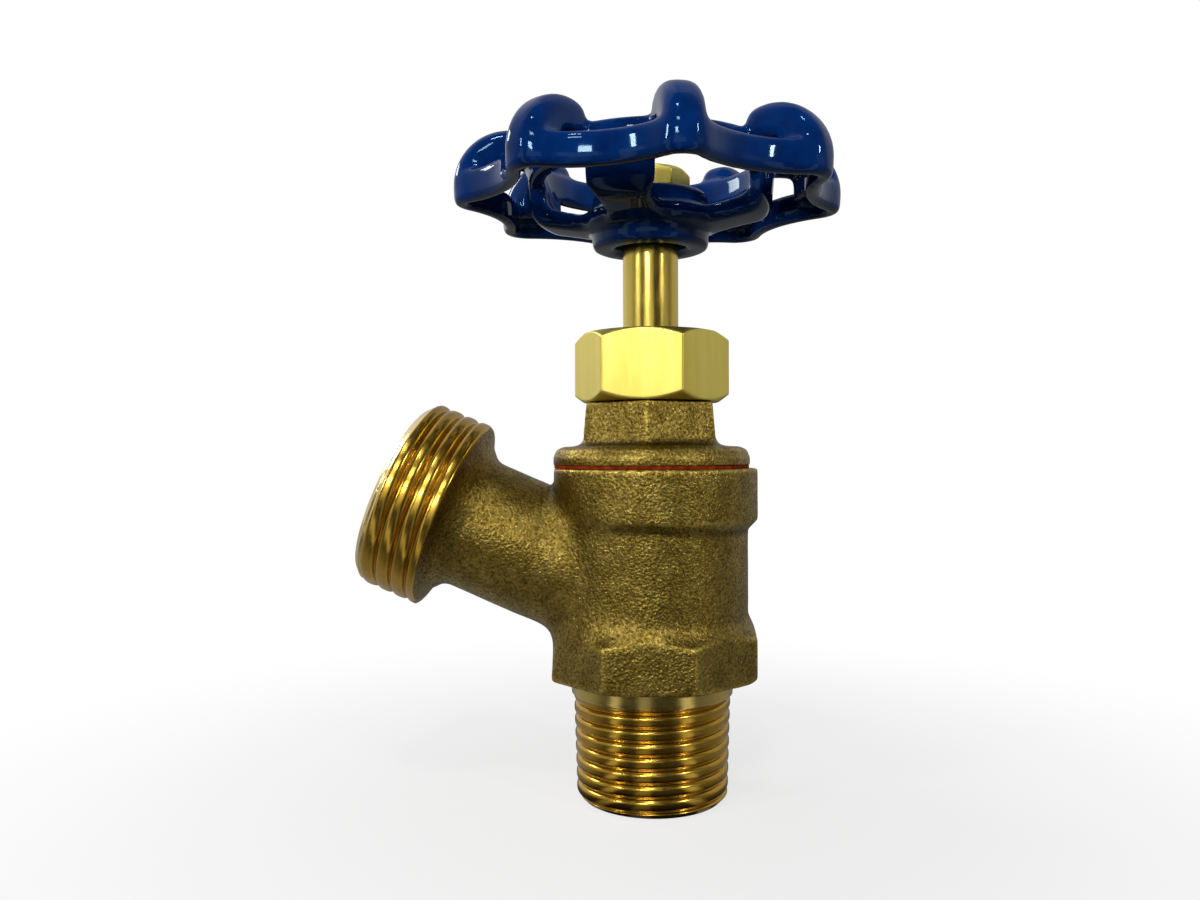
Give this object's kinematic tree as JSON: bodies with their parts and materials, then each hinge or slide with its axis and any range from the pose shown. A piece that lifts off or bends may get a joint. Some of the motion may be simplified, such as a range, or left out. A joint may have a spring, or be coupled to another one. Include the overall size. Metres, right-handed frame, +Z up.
{
  "type": "boiler drain valve",
  "caption": "Angled boiler drain valve with a taper-threaded inlet, a hose-thread spout and a lobed handwheel on a rising stem.",
  "frame": {"origin": "centre of the inlet's end face, on the stem's axis", "axes": "+Z up along the stem, -X towards the spout's side, -Y to the front"},
  "size_m": [0.0675, 0.0536, 0.0912],
  "materials": {
    "cast_bronze": "rough sand casting",
    "bright_brass": "satin machined",
    "turned_brass": "turned and polished",
    "red_fibre": "pressed fibre",
    "packing": "graphited packing",
    "black_rubber": "moulded rubber",
    "blue_enamel": "gloss enamel"
  },
  "bodies": {
    "valve": {"valve_body": "cast_bronze", "bonnet_gasket": "red_fibre", "bonnet": "cast_bronze", "packing_nut": "bright_brass", "packing_ring_lower": "packing", "packing_ring_middle": "packing", "packing_ring_upper": "packing", "packing_gland": "turned_brass"},
    "disc": {"disc_holder": "turned_brass", "seat_washer": "black_rubber", "seat_screw": "turned_brass"},
    "spindle": {"stem": "turned_brass", "handwheel": "blue_enamel", "handwheel_nut": "turned_brass"}
  },
  "joints": [
    {"name": "stem_lift", "type": "slide", "parent": "valve", "child": "disc", "axis": [0, 0, 1], "range_m": [-0.00635, 0]},
    {"name": "handle_turn", "type": "hinge", "parent": "disc", "child": "spindle", "pos_m": [0, 0, 0.0797], "axis": [0, 0, 1], "range_deg": [-1080, 0]}
  ],
  "couplings": [
    {"joint": "handle_turn", "follows": "stem_lift", "rad_per_m": 2968}
  ]
}
